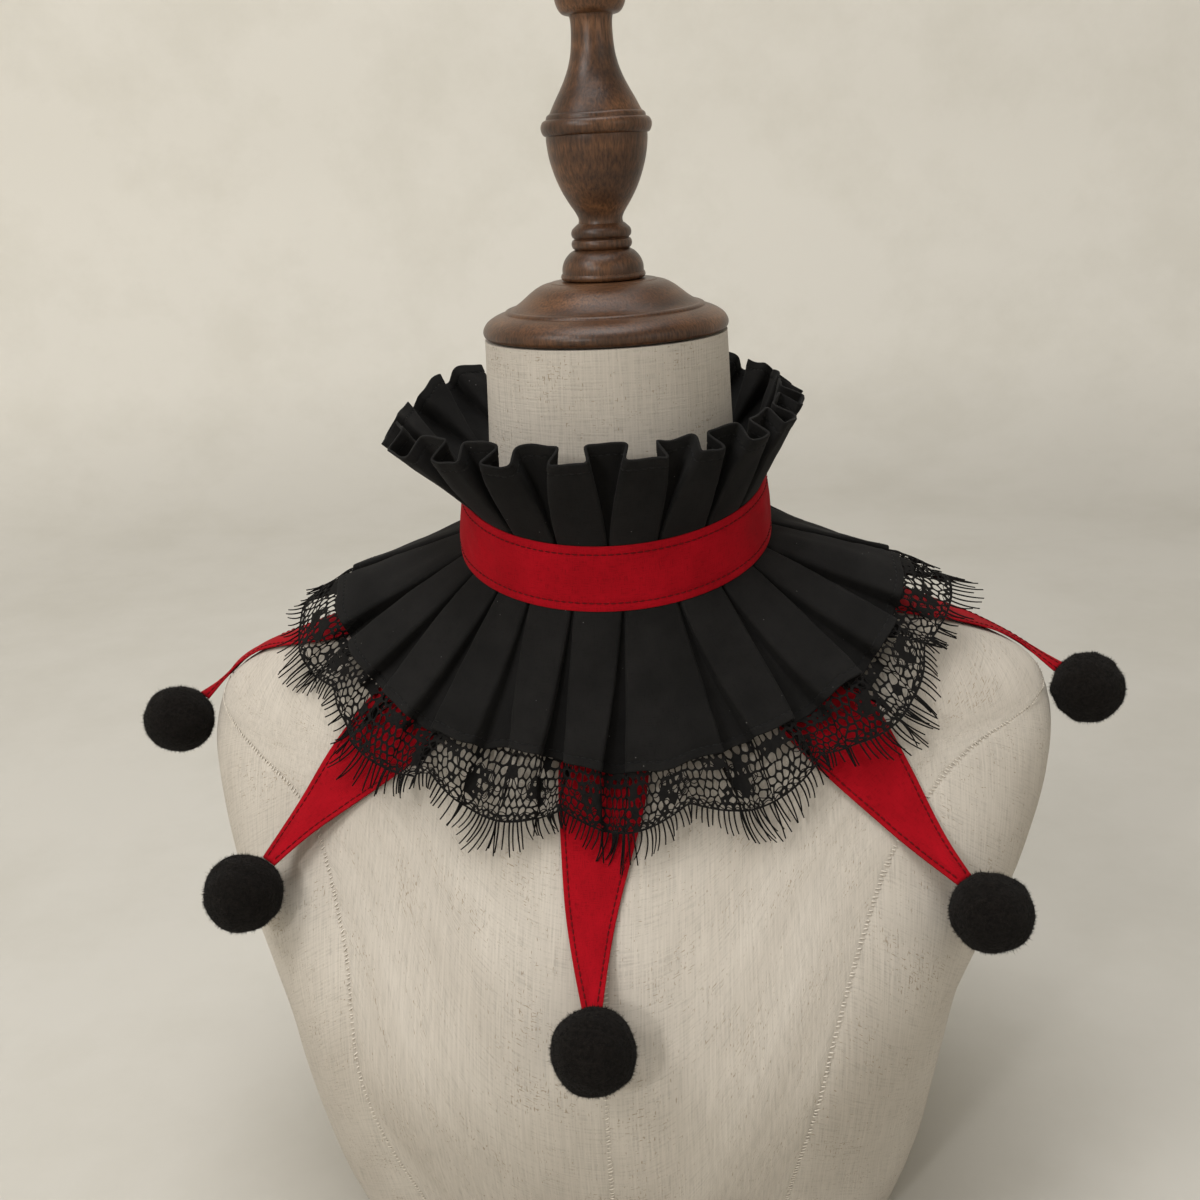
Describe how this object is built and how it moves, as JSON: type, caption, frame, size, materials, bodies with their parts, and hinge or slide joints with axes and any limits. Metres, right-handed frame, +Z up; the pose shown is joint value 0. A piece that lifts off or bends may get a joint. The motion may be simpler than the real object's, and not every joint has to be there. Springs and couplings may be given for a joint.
{
  "type": "ruff collar on a dress form",
  "caption": "Jester-style pleated ruff collar with neckband, lace hem, long points and pompoms, resting on a limbless dress form with a turned neck cap.",
  "frame": {"origin": "on the dress form's flat bottom, on the axis of its neck", "axes": "+Z up along the neck, -Y towards the front of the chest, +X towards the viewer's right when facing the front"},
  "size_m": [0.4449, 0.3102, 0.5484],
  "materials": {
    "linen": "natural slubbed linen over a padded form",
    "wood": "dark brown turned wood, satin",
    "red_cotton": "red woven cotton, topstitched",
    "black_cotton": "black woven cotton, matte",
    "black_lace": "black eyelash lace",
    "black_pompom": "black pile pompom"
  },
  "bodies": {
    "root": {"form_torso": "linen", "neck_cap": "wood", "finial": "wood", "neck_band": "red_cotton", "upper_ruff": "black_cotton", "lower_ruff": "black_cotton", "lace_left": "black_lace", "lace_right": "black_lace", "lashes_left": "black_lace", "lashes_right": "black_lace", "point_front": "red_cotton", "point_left_diagonal": "red_cotton", "point_right_diagonal": "red_cotton", "point_left_shoulder": "red_cotton", "point_right_shoulder": "red_cotton", "point_left_back": "red_cotton", "point_right_back": "red_cotton", "pompom_front": "black_pompom", "pompom_left_diagonal": "black_pompom", "pompom_right_diagonal": "black_pompom", "pompom_left_shoulder": "black_pompom", "pompom_right_shoulder": "black_pompom", "pompom_left_back": "black_pompom", "pompom_right_back": "black_pompom"}
  },
  "joints": []
}
